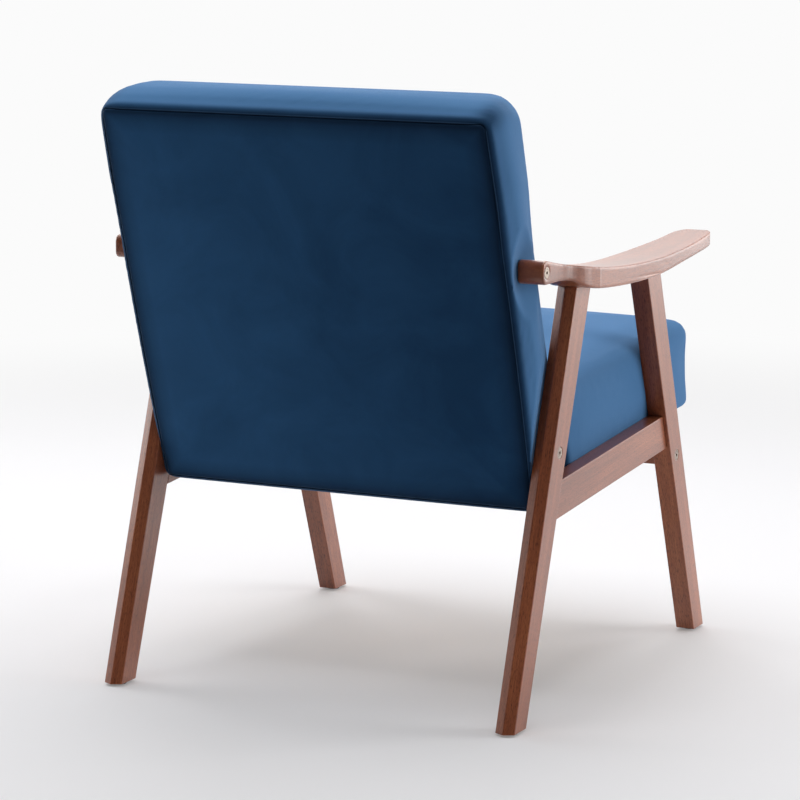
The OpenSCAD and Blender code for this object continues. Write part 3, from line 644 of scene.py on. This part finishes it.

# %% Seams in the pile
# Painted shade, partly pressed pile, against the way from the seam in mm: the panel lies
# on the minus side and its very edge turns up and is left unshaded, so it keeps a thin lit line,
# the cover lies on the plus side
seam_reach = 30
seam_shade_profile = [(-seam_reach, 0.0), (-16, 0.22), (-8, 0.45), (-2.6, 0.75), (-1.2, 0.1),
                (-0.2, 0.1), (0.2, 0.9), (2, 0.7), (5, 0.5), (10, 0.25), (20, 0.0),
                (seam_reach, 0.0)]
# A painted highlight just outside the seam, where its ridge catches light: its middle and half its
# width
seam_highlight_middle = 1.6 * mm
seam_highlight_half = 0.6 * mm


def seam_shaded_colour(tree, pile_colour):
    """Paints shade along seams and corner folds, where the pile is also pressed, and a painted
    highlight beside the seam.
    """
    seam = add_node(tree, "ShaderNodeAttribute", {"attribute_name": "seam"})
    way = add_node(tree, "ShaderNodeMapRange",
                   {"From Min": -seam_reach * mm, "From Max": seam_reach * mm},
                   {"Value": seam.outputs["Fac"]})
    # How dark a seam makes the pile: partly pressed pile, partly painted shade
    pressed = add_node(tree, "ShaderNodeValToRGB", None, {"Fac": way.outputs["Result"]},
                       [(distance / (2 * seam_reach) + 0.5, (shade, shade, shade, 1))
                        for distance, shade in seam_shade_profile])
    # Painted shade along the corner folds, where the pile is also pressed
    crease_press_and_shade = add_node(tree, "ShaderNodeAttribute", {"attribute_name": "crease_press_and_shade"})
    dark = add_node(tree, "ShaderNodeMath", {"operation": "MAXIMUM"},
                    {0: pressed.outputs["Color"], 1: crease_press_and_shade.outputs["Fac"]})
    # Painted shade: the pile turns towards near black along the seams and folds
    pile_with_seam_shade = add_node(tree, "ShaderNodeMix", {"data_type": "RGBA", 7: paint("#071426")},
                            {0: dark.outputs[0], 6: pile_colour})
    # Painted highlight: a lighter line just outside the seam
    seam_highlight_band = add_node(tree, "ShaderNodeMath",
                        {"operation": "COMPARE", 1: seam_highlight_middle, 2: seam_highlight_half},
                        {0: seam.outputs["Fac"]})
    seam_highlight = add_node(tree, "ShaderNodeMath", {"operation": "MULTIPLY", 1: 0.18},
                      {0: seam_highlight_band.outputs[0]})
    colour = add_node(tree, "ShaderNodeMix", {"data_type": "RGBA", 7: paint("#5d8cbd")},
                      {0: seam_highlight.outputs[0], 6: pile_with_seam_shade.outputs[2]})
    return colour.outputs[2]


print("a seam darkens the pile up to", seam_reach, "mm away")


# %% Velvet
def blue_velvet():
    """Velvet cloth: a matt, deep blue pile that glows along its turning edges."""
    material, tree = new_material("blue velvet")
    place = add_node(tree, "ShaderNodeTexCoord").outputs["Object"]
    pile = add_node(tree, "ShaderNodeTexNoise",
                    {"Scale": 1 / speck_size, "Detail": 2.0, "Roughness": 0.7},
                    {"Vector": place})
    relief = add_node(tree, "ShaderNodeBump", {"Strength": 0.35, "Distance": 0.4 * mm},
                      {"Height": pile.outputs["Fac"]})
    surface = add_node(tree, "ShaderNodeBsdfPrincipled",
                       {"Roughness": 0.85, "Specular IOR Level": 0.08, "Sheen Weight": 0.28,
                        "Sheen Roughness": 0.35, "Sheen Tint": paint("#c8d4ea")},
                       {"Base Color": seam_shaded_colour(tree, pile_blue(tree, place, pile)),
                        "Normal": relief.outputs["Normal"]})
    return give_surface(material, surface)


velvet = blue_velvet()
print("nodes in the velvet:", len(velvet.node_tree.nodes))

# %% [markdown]
# ## How the upholstery is made
#
# A cushion is foam in a tight cover. Its solid has the right size and lean, but plain
# faces. So a copy of it is welded and remeshed into an even net of small squares.
# Folds, hollows, the room that the wood leaves and the seams come after that, on this
# fine net. To say where they go, a point is measured along the slope of the back or of
# the seat, as a maker would lay a ruler on them.

# %% Places on the back and the seat
# The foot is the middle of the rear lower edge of the back, and of the seat's underside
back_foot = Vector((0, 0.19508, 0.264))
back_length = 535.5 * mm
half_width = 272.7 * mm
seat_foot = Vector((0, -0.01392, 0.3024))


def on_back(point):
    """A point as (across, up the slope, forward from the rear edge) on the back."""
    y, z = point.y - back_foot.y, point.z - back_foot.z
    up = y * math.sin(back_lean) + z * math.cos(back_lean)
    forward = z * math.sin(back_lean) - y * math.cos(back_lean)
    return point.x, up, forward


def from_back(across, up, forward):
    """The point that on_back gives these three lengths for."""
    return Vector((across, back_foot.y + up * math.sin(back_lean) - forward * math.cos(back_lean),
                   back_foot.z + up * math.cos(back_lean) + forward * math.sin(back_lean)))


def on_seat(point):
    """A point as (across, backward, up from the underside) on the seat."""
    y, z = point.y - seat_foot.y, point.z - seat_foot.z
    return (point.x, y * math.cos(seat_tilt) - z * math.sin(seat_tilt),
            y * math.sin(seat_tilt) + z * math.cos(seat_tilt))


def ramp(value, low, high):
    """0 below low, 1 above high, and a smooth step between."""
    t = max(0.0, min(1.0, (value - low) / (high - low)))
    return t * t * (3 - 2 * t)


print("height of the back's top in mm:", round(from_back(0, back_length, 0).z / mm, 1))


# %% An even net for the back
fine_net = 4.5 * mm
smooth_turns = 4


def settle(piece):
    """Bakes a piece's modifiers into its mesh."""
    bpy.context.view_layer.update()
    graph = bpy.context.evaluated_depsgraph_get()
    shaped = bpy.data.meshes.new_from_object(piece.evaluated_get(graph))
    piece.modifiers.clear()
    piece.data = shaped


def welded_copy(names):
    """The meshes of CAD parts as one bmesh without doubled points."""
    bm = bmesh.new()
    for name in names:
        bm.from_mesh(parts[name].data)
    bmesh.ops.remove_doubles(bm, verts=bm.verts, dist=0.01 * mm)
    return bm


def soft_copy(names, piece_name, net_size):
    """A copy of CAD cushions as one even net, smoothed a little."""
    piece = add_piece(piece_name, welded_copy(names), velvet)
    net = piece.modifiers.new("net", "REMESH")
    net.mode = "VOXEL"
    net.voxel_size = net_size
    settle(piece)
    bm = bmesh.new()
    bm.from_mesh(piece.data)
    for _ in range(smooth_turns):
        bmesh.ops.smooth_vert(bm, verts=bm.verts, factor=0.5,
                              use_axis_x=True, use_axis_y=True, use_axis_z=True)
    bm.to_mesh(piece.data)
    bm.free()
    print(piece_name, "net:", len(piece.data.polygons), "faces")
    return piece


back_nodes = ["back_cushion", "back_panel"]
back = soft_copy(back_nodes, "back_upholstery", fine_net)

# %% [markdown]
# ## Filling the covers
#
# A coarser copy of the net is blown up as cloth: air fills it between the places where a
# real cover is held, its seams and the boards it is pulled over. Cloth on a fine net would
# take minutes and come out wrinkled, so only the swelling is carried over to the fine
# net, evened out, and no point may move past a set reach.

# %% Air in a net
cloth_net = 8 * mm
cloth_frames = 12
calm_turns = 12


def cloth_swell(piece, held, pressure):
    """Blows a closed net up as cloth and returns how far each point went outwards."""
    start = [v.co.copy() for v in piece.data.vertices]
    outwards = [v.normal.copy() for v in piece.data.vertices]
    hold = [held(point) for point in start]
    group = piece.vertex_groups.new(name="held")
    for i, share in enumerate(hold):
        group.add([i], share, "REPLACE")
    cloth = piece.modifiers.new("air", "CLOTH")
    cloth.settings.quality = 5
    cloth.settings.mass = 0.3
    cloth.settings.tension_stiffness = 30
    cloth.settings.compression_stiffness = 30
    cloth.settings.bending_stiffness = 3
    cloth.collision_settings.use_collision = False
    cloth.settings.use_pressure = True
    cloth.settings.uniform_pressure_force = pressure
    cloth.settings.effector_weights.gravity = 0
    cloth.settings.vertex_group_mass = "held"
    cloth.point_cache.frame_start = 1
    cloth.point_cache.frame_end = cloth_frames
    for number in range(1, cloth_frames + 1):
        bpy.context.scene.frame_set(number)
    graph = bpy.context.evaluated_depsgraph_get()
    blown = [v.co.copy() for v in piece.evaluated_get(graph).data.vertices]
    bpy.context.scene.frame_set(1)
    return [max((after - before).dot(normal), 0) * (1 - share)
            for before, after, normal, share in zip(start, blown, outwards, hold)]


def calm(piece, values):
    """Evens a value over the net by averaging neighbours, as a taut cover does."""
    ends = [tuple(edge.vertices) for edge in piece.data.edges]
    for _ in range(calm_turns):
        total, count = [0.0] * len(values), [0] * len(values)
        for a, b in ends:
            total[a] += values[b]
            total[b] += values[a]
            count[a] += 1
            count[b] += 1
        values = [0.5 * v + 0.5 * s / max(n, 1) for v, s, n in zip(values, total, count)]
    return values


print("cloth net in mm:", round(cloth_net / mm), "and frames:", cloth_frames)


# %% Fill the back
def fill_with_air(piece, names, held, pressure, reach):
    """Swells a piece as far as a coarse cloth copy of it swells, but never past reach."""
    coarse = soft_copy(names, piece.name + "_cloth", cloth_net)
    swell = calm(coarse, cloth_swell(coarse, held, pressure))
    print(piece.name, "swells by up to", round(max(swell) / mm, 1), "mm")
    tree = KDTree(len(swell))
    for i, v in enumerate(coarse.data.vertices):
        tree.insert(v.co, i)
    tree.balance()
    normals = [v.normal.copy() for v in piece.data.vertices]
    for v, n in zip(piece.data.vertices, normals):
        near = [(swell[i], 1 / (gap + 1 * mm)) for _, i, gap in tree.find_n(v.co, 4)]
        v.co += n * min(sum(s * w for s, w in near) / sum(w for s, w in near), reach)
    bpy.data.objects.remove(coarse)


def back_held(point):
    """The cover is held behind, where it turns over the rear edge to meet the panel."""
    return 1 - ramp(on_back(point)[2], 5 * mm, 14 * mm)


fill_with_air(back, back_nodes, back_held, pressure=1.0, reach=7 * mm)

# %% [markdown]
# ## The back cushion
#
# The back is a slab of foam over a timber frame. Its sides, top and front are free, so
# they fill out between the edges. Cloth that is pulled round a corner gathers in a fold
# there, and it is squashed where the armrests' necks bolt on. Both are gentle dents: the
# net's points move in along their normals, less and less with distance.

# %% Folds and dents of the back
corner_size = 38 * mm
neck_end = 257 * mm
neck_low, neck_high = 567 * mm, 598 * mm


def corner_crease(point):
    """1 along the folds that cross the cover's top corners from the seam forward."""
    across, up, forward = on_back(point)
    x, z = abs(across) - (half_width - corner_size), up - (back_length - corner_size)
    if x <= 0 or z <= 0:
        return 0.0
    # The fold spreads 18 degrees to each side and fades out forward
    off_fold = math.degrees(math.atan2(z, x)) - 45
    return (math.exp(-(off_fold / 18) ** 2) * (1 - ramp(forward, 60 * mm, 103 * mm))
            * ramp(math.hypot(x, z), 10 * mm, 26 * mm))


def back_dents(point, normal):
    """The folds over the top corners, and the squash round the armrests' necks."""
    past_neck = max(point.y - neck_end, 0), max(neck_low - point.z, point.z - neck_high, 0)
    away = math.hypot(*past_neck) / mm
    # 2.5 mm deep at the neck, with a ring 0.8 mm high where the cloth gathers 15 mm away
    squash = 2.5 * math.exp(-(away / 6) ** 2) - 0.8 * math.exp(-((away - 15) / 8) ** 2)
    behind = ramp(point.y, 190 * mm, 235 * mm)
    on_side = ramp(abs(normal.x), 0.6, 0.9)
    return (2 * corner_crease(point) + squash * behind * on_side) * mm


def dent(piece, depth_at):
    """Presses the cloth in along its normals by depth_at(point, normal)."""
    normals = [v.normal.copy() for v in piece.data.vertices]
    depths = [depth_at(v.co, n) for v, n in zip(piece.data.vertices, normals)]
    for v, n, depth in zip(piece.data.vertices, normals, depths):
        v.co -= n * depth
    print(piece.name, "is dented by up to", round(max(depths) / mm, 1), "mm")


dent(back, back_dents)

# %% [markdown]
# ## Where back and seat meet
#
# Both cushions are soft, so they don't pass into each other: they flatten along the
# plane in which they touch. The back gives way below the seat's top edge, the seat behind
# that plane. Points past it are moved back onto it, which leaves a neat closed line.

# %% Press the back against the seat
meeting = 111.3 * mm
seat_edge = 122 * mm
seat_gap = 0.3 * mm


def press_together(piece, seat_side):
    """Flattens the back or the seat at their meeting, below the seat's top edge."""
    forwards = from_back(0, 0, 1) - from_back(0, 0, 0)
    pressed = 0
    for v in piece.data.vertices:
        past = on_back(v.co)[2] - meeting
        if seat_side:
            move = max(seat_gap - past, 0)
        else:
            move = -max(past - max(on_seat(v.co)[2] - seat_edge, 0), 0)
        v.co += forwards * move
        pressed += move != 0
    print(piece.name, "is pressed flat at", pressed, "points")


press_together(back, seat_side=False)

# %% [markdown]
# ## Hollows in the back
#
# The timbers sit in a hollow behind the foam, and the rear panel in a shallow seat
# around it. Both are cut as exact booleans: they keep the seat's edge crisp, where the
# net alone would round it off and lose the hollow.

# %% Carve the hollows
# Room round the panel and the timbers, and how far both forms reach out to the rear.
# What lies less than rear_side forward is the panel's rear side.
seat_room = 0.5 * mm
panel_out, pocket_out = 8 * mm, 5 * mm
rear_side = 3 * mm


def panel_seat():
    """The rear panel's seat, with room all round and open to the rear."""
    bm = welded_copy(["back_panel"])
    for v in bm.verts:
        across, up, forward = on_back(v.co)
        v.co = from_back(across + math.copysign(seat_room, across),
                         up + math.copysign(seat_room, up - back_length / 2),
                         forward - panel_out if forward < rear_side else forward + seat_room)
    return bm


def timber_pocket():
    """The hollow for the timbers and webbing, with room all round and open to the rear."""
    timbers = ["back_stile_left", "back_stile_right", "back_top_rail", "back_bottom_rail",
               "back_webbing"]
    spots = [on_back(v.co) for name in timbers for v in parts[name].data.vertices]
    low = [min(spot[i] for spot in spots) - seat_room for i in range(3)]
    high = [max(spot[i] for spot in spots) + seat_room for i in range(3)]
    low[2] = -pocket_out
    bm = bmesh.new()
    bmesh.ops.create_cube(bm, size=1)
    for v in bm.verts:
        v.co = from_back(*[high[i] if v.co[i] > 0 else low[i] for i in range(3)])
    return bm


def carve(piece, bm):
    """Cuts a form out of a piece."""
    cutter = add_piece("cutter", bm, velvet)
    cut = piece.modifiers.new("carve", "BOOLEAN")
    cut.operation = "DIFFERENCE"
    cut.solver = "EXACT"
    cut.object = cutter
    settle(piece)
    bpy.data.objects.remove(cutter)
    print(piece.name, "carved:", len(piece.data.polygons), "faces")


carve(back, timber_pocket())
carve(back, panel_seat())

# %% [markdown]
# ## The back's seam
#
# The cover and the rear panel are sewn together just inside the back's rear edge. The
# velvet paints that line by itself, as painted shade with a painted highlight beside it,
# if each point of the net knows how far it lies from it along the cloth: so the way is
# worked out here and stored on the mesh, beside the folds.

# %% Mark the back's seam
seam_inset = 7 * mm
seam_corner = 7 * mm
# The back grows wider by this share between these heights up its slope
top_spread = 0.0073
spread_from, spread_to = 352 * mm, 430 * mm


def seam_distance(across, up):
    """Distance outside the seam's rounded outline, and below 0 inside it."""
    spread = 1 + top_spread * ramp(up, spread_from, spread_to)
    x = abs(across / spread) - (half_width - seam_inset - seam_corner)
    z = abs(up - back_length / 2) - (back_length / 2 - seam_inset - seam_corner)
    outside = math.hypot(max(x, 0), max(z, 0))
    return outside + min(max(x, z), 0) - seam_corner


def cover_way(point):
    """Way along the cover from the rear seam: outwards, then forward over the side."""
    across, up, forward = on_back(point)
    return max(seam_distance(across, up), 0) + max(forward - 2 * mm, 0)


def mark(piece, name, value_at):
    """Writes a value for each vertex, which the velvet reads."""
    values = [value_at(v.co) for v in piece.data.vertices]
    piece.data.attributes.new(name, "FLOAT", "POINT").data.foreach_set("value", values)
    print(name, "on", piece.name, "runs from", round(min(values), 3), "to", round(max(values), 3))


mark(back, "seam", cover_way)
# Painted shade along the corner folds, partly pressed pile
mark(back, "crease_press_and_shade", lambda point: 0.35 * corner_crease(point))

# %% [markdown]
# ## Wadding and the wood beside it
#
# Under the cover a layer of wadding rounds the back past its foam, most at half height,
# and fades out towards the front. Beside the legs and rails there is no room for it: the
# wood holds the cloth in, and away from the wood the cloth comes out again bit by bit.

# %% Fill the rear edge
wadding_least = 2 * mm
wadding_belly = 4.5 * mm
wadding_up = 4 * mm


def fill_rear(piece):
    """Moves the rear edge outwards: wadding fills it past the foam, most at half height."""
    upwards = Vector((0, math.sin(back_lean), math.cos(back_lean)))
    for v in piece.data.vertices:
        across, up, forward = on_back(v.co)
        height = 2 * up / back_length - 1
        behind = 1 - ramp(forward, 30 * mm, 95 * mm)
        wadding = wadding_least + wadding_belly * max(1 - height ** 2, 0)
        v.co.x += behind * across / half_width * wadding
        v.co += upwards * (behind * height * wadding_up)
    widest = max(v.co.x for v in piece.data.vertices)
    print(piece.name, "is", round(2 * widest / mm, 1), "mm wide")


fill_rear(back)

# %% Hold the back between the wood
# The wood beside the cushions, seen from the side, in mm: two ends of each piece as
# (depth, height), and half its width
wood_beside = {
    "rear leg": ((102, 550), (303, 3), 20),
    "front leg": ((-131, 548), (-331, 3), 20),
    "side rail": ((-205, 303), (188, 276), 24),
    "armrest neck": ((60, 570), (241, 583), 15),
}
# Half the width between the wood's inner faces, less a little for the cloth
inner_face = 272.4 * mm
wood_margin = 1.5 * mm


def beside_wood(point):
    """Distance in the side view from the nearest piece of wood."""
    place = Vector((point.y, point.z)) / mm
    gaps = []
    for (y1, z1), (y2, z2), half in wood_beside.values():
        start, run = Vector((y1, z1)), Vector((y2 - y1, z2 - z1))
        along = max(0.0, min(1.0, (place - start).dot(run) / run.length_squared))
        gaps.append((place - start - run * along).length - half)
    return max(min(gaps), 0.0) * mm


def keep_between_wood(piece, slope):
    """Holds the sides back where wood passes them. Away from it they come out by slope."""
    held = 0
    for v in piece.data.vertices:
        if abs(v.co.x) > inner_face:
            room = inner_face + slope * max(beside_wood(v.co) - wood_margin, 0)
            held += abs(v.co.x) > room
            v.co.x = math.copysign(min(abs(v.co.x), room), v.co.x)
    print(piece.name, "is held in by the wood at", held, "points")


keep_between_wood(back, slope=0.25)


# %% Finish the back
def finish_soft(piece, node):
    """Hangs a soft piece on the root, hides the solid that it stands for and shades it softly."""
    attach(piece, "root")
    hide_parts(node)
    shade_softly(piece)
    print(piece.name, "stands for", node, "with", len(piece.data.polygons), "faces")


finish_soft(back, "back_cushion")

# %% [markdown]
# ## The rear panel
#
# A thin board under wadding and velvet closes the back from behind. It sits in the
# turned-over edge of the cover, so its own edge is drawn down all round. Its solid has
# few, large faces that already follow that form, so subdivision is enough to soften it.

# %% Rear panel
def smooth_copy(node, name, levels):
    """A copy of a CAD piece with its triangles joined, smoothed by subdivision."""
    bm = welded_copy([node])
    bmesh.ops.join_triangles(bm, faces=bm.faces, angle_face_threshold=math.radians(40),
                             angle_shape_threshold=math.radians(40))
    piece = add_piece(name, bm, velvet)
    net = piece.modifiers.new("smooth", "SUBSURF")
    net.levels = net.render_levels = levels
    settle(piece)
    return piece


def panel_way(point):
    """Way from the panel's edge, counted down towards its middle."""
    across, up, forward = on_back(point)
    return min(seam_distance(across, up), 0) - max(forward, 0)


panel = smooth_copy("back_panel", "rear_panel", levels=3)
mark(panel, "seam", panel_way)
fill_rear(panel)
finish_soft(panel, "back_panel")

# %% [markdown]
# ## The seat cushion
#
# A block of foam on the plywood board, in a cover that is stapled underneath. It is
# held there and free elsewhere, so it is made as the back is, with a little less air.
# Short seams close the cover at its front corners, below the top.

# %% Seat cushion
seat_half_width = 258 * mm
seat_front = 320 * mm
seam_height = 118 * mm


def seat_held(point):
    """The cover is held under the board, and a little way up the sides."""
    return 1 - ramp(on_seat(point)[2], 3 * mm, 16 * mm)


def seat_way(point):
    """Way from the seams at the front corners, which widens quickly. Elsewhere 1 metre."""
    across, backward, up = on_seat(point)
    x, y = abs(across) - seat_half_width, -backward - seat_front
    if x <= -5 * mm or y <= -5 * mm:
        return 1.0
    return 3 * math.hypot(abs(x - y) / math.sqrt(2), max(up - seam_height, 0))


seat = soft_copy(["seat_cushion"], "seat_upholstery", fine_net)
fill_with_air(seat, ["seat_cushion"], seat_held, pressure=0.5, reach=6 * mm)
press_together(seat, seat_side=True)
keep_between_wood(seat, slope=0.8)
# The velvet paints shade along these seams, as along the back's
mark(seat, "seam", seat_way)
finish_soft(seat, "seat_cushion")
